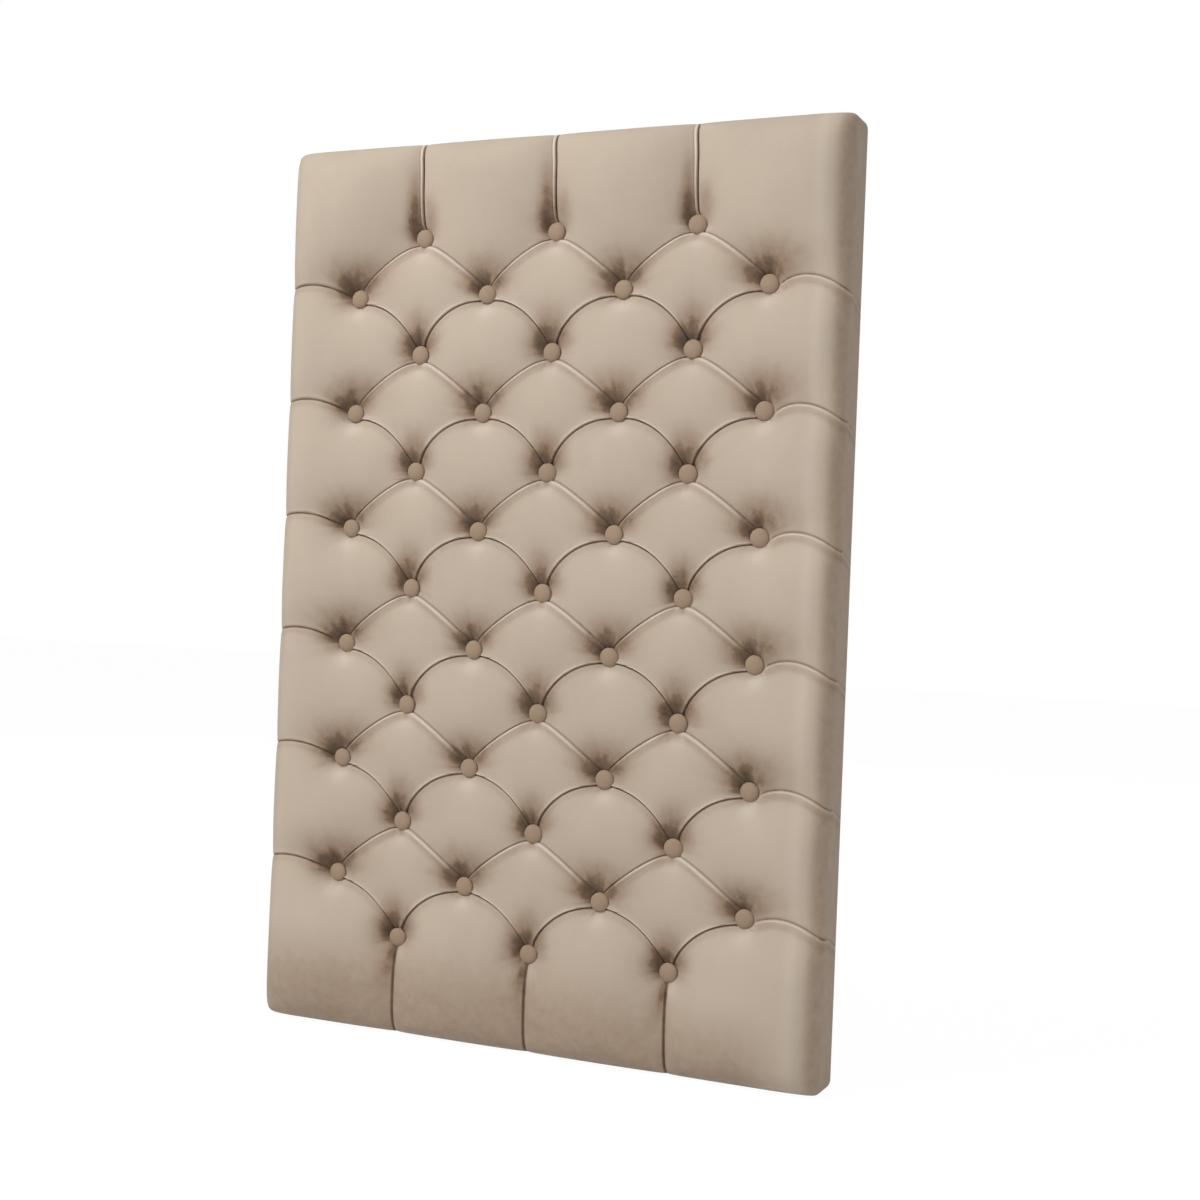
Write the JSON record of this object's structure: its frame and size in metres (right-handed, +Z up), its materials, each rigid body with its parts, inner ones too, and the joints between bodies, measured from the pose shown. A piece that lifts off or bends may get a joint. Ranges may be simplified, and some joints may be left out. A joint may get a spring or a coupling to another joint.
{
  "type": "upholstered wall panel",
  "caption": "Tall padded wall or headboard panel in velvet, deep tufted with covered buttons in a diamond lattice, on a board with keyhole hangers.",
  "frame": {"origin": "centre of the back, on the wall's plane", "axes": "+Z up, +Y into the wall, so the tufted front faces -Y; +X to the right as one faces the panel"},
  "size_m": [0.61, 0.0597, 0.914],
  "materials": {
    "board": "plain plywood",
    "foam": "open-cell foam",
    "velvet": "short-pile velvet",
    "button_velvet": "short-pile velvet drawn over a dome",
    "twine": "waxed",
    "dust_cover": "thin non-woven cloth",
    "zinc": "zinc plated"
  },
  "bodies": {
    "root": {"back_board": "board", "foam_pad": "foam", "velvet_cover": "velvet", "button_row_01": "button_velvet", "button_row_02": "button_velvet", "button_row_03": "button_velvet", "button_row_04": "button_velvet", "button_row_05": "button_velvet", "button_row_06": "button_velvet", "button_row_07": "button_velvet", "button_row_08": "button_velvet", "button_row_09": "button_velvet", "button_row_10": "button_velvet", "button_row_11": "button_velvet", "button_row_12": "button_velvet", "button_row_13": "button_velvet", "tufting_twine": "twine", "dust_cover": "dust_cover", "hanger_plates": "zinc"}
  },
  "joints": []
}
